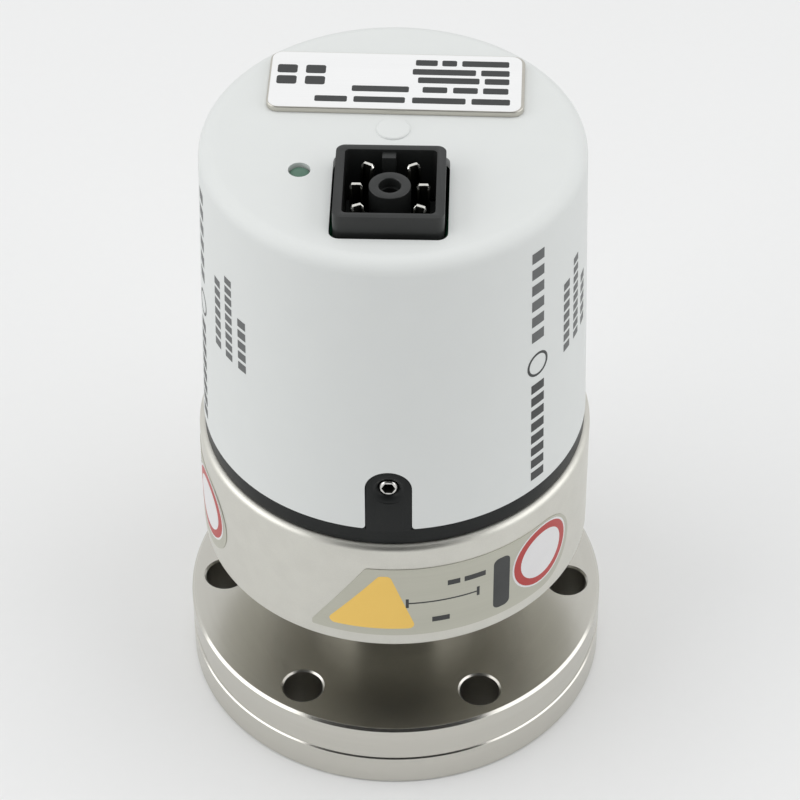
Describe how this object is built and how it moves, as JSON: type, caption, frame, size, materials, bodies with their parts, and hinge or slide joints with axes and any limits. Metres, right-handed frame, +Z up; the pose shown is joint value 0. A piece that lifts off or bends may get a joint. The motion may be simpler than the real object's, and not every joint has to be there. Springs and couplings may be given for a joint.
{
  "type": "vacuum gauge",
  "caption": "Upright combined vacuum gauge: knife-edge flange, magnet ring, black clamping base with a screw tab, pale drafted cap with a square pin connector, lamp and plate.",
  "frame": {"origin": "centre of the flange's underside", "axes": "+Z up the gauge's axis, -Y towards the clamping tab and its screw"},
  "size_m": [0.0698, 0.0698, 0.1124],
  "materials": {
    "flange_steel": "turned stainless steel with a fine radial sheen",
    "housing_steel": "satin nickel-plated steel",
    "magnet_ferrite": "dark sintered magnet",
    "aluminium_part": "plain turned aluminium",
    "seal_rubber": "black elastomer",
    "feedthrough_glass": "fused sealing glass",
    "fine_steel": "bright machined steel",
    "chassis_black": "satin black",
    "cap_white": "fine satin light grey white",
    "brass_part": "nickel-free turned brass",
    "board_green": "lacquered laminate",
    "component_dark": "moulded component bodies",
    "winding_tape": "ferrite and taped winding",
    "can_aluminium": "capacitor cans",
    "trimmer_blue": "blue moulding",
    "contact_tin": "tin-plated contacts",
    "lamp_green": "clear greenish moulding",
    "plate_metal": "pale faced metal plate",
    "label_foil": "printed grey foil"
  },
  "bodies": {
    "root": {"cf_flange": "flange_steel", "port_neck": "flange_steel", "chamber_body": "flange_steel", "magnet_housing": "housing_steel", "lower_magnet": "magnet_ferrite", "magnet_spacer": "aluminium_part", "upper_magnet": "magnet_ferrite", "magnet_cover": "housing_steel", "magnet_grub_screw": "fine_steel", "chamber_seal": "seal_rubber", "support_ring": "fine_steel", "sensor_flange": "fine_steel", "feedthrough_eyelet": "fine_steel", "glass_insulator": "feedthrough_glass", "anode_pin": "fine_steel", "igniter": "fine_steel", "filament_header": "feedthrough_glass", "filament_tube": "fine_steel", "filament_pins": "fine_steel", "filament": "fine_steel", "pressure_piece": "fine_steel", "clamp_screws": "fine_steel", "high_voltage_socket": "brass_part", "filament_socket": "component_dark", "chassis": "chassis_black", "base_grub_screw": "fine_steel", "lower_posts": "brass_part", "main_board": "board_green", "middle_posts": "brass_part", "upper_board": "board_green", "board_screws": "fine_steel", "cap_posts": "brass_part", "cap_screws": "fine_steel", "transformer": "winding_tape", "multiplier": "component_dark", "capacitors": "can_aluminium", "trimmer": "trimmer_blue", "chips": "component_dark", "board_link": "component_dark", "status_lamp": "lamp_green", "light_pipe": "lamp_green", "cap": "cap_white", "name_plate": "plate_metal", "socket_shell": "chassis_black", "contact_carrier": "chassis_black", "front_side_label": "label_foil", "left_side_label": "label_foil", "contact_pin_1": "contact_tin", "contact_pin_2": "contact_tin", "contact_pin_3": "contact_tin", "contact_pin_4": "contact_tin", "contact_pin_5": "contact_tin", "contact_pin_6": "contact_tin"}
  },
  "joints": []
}
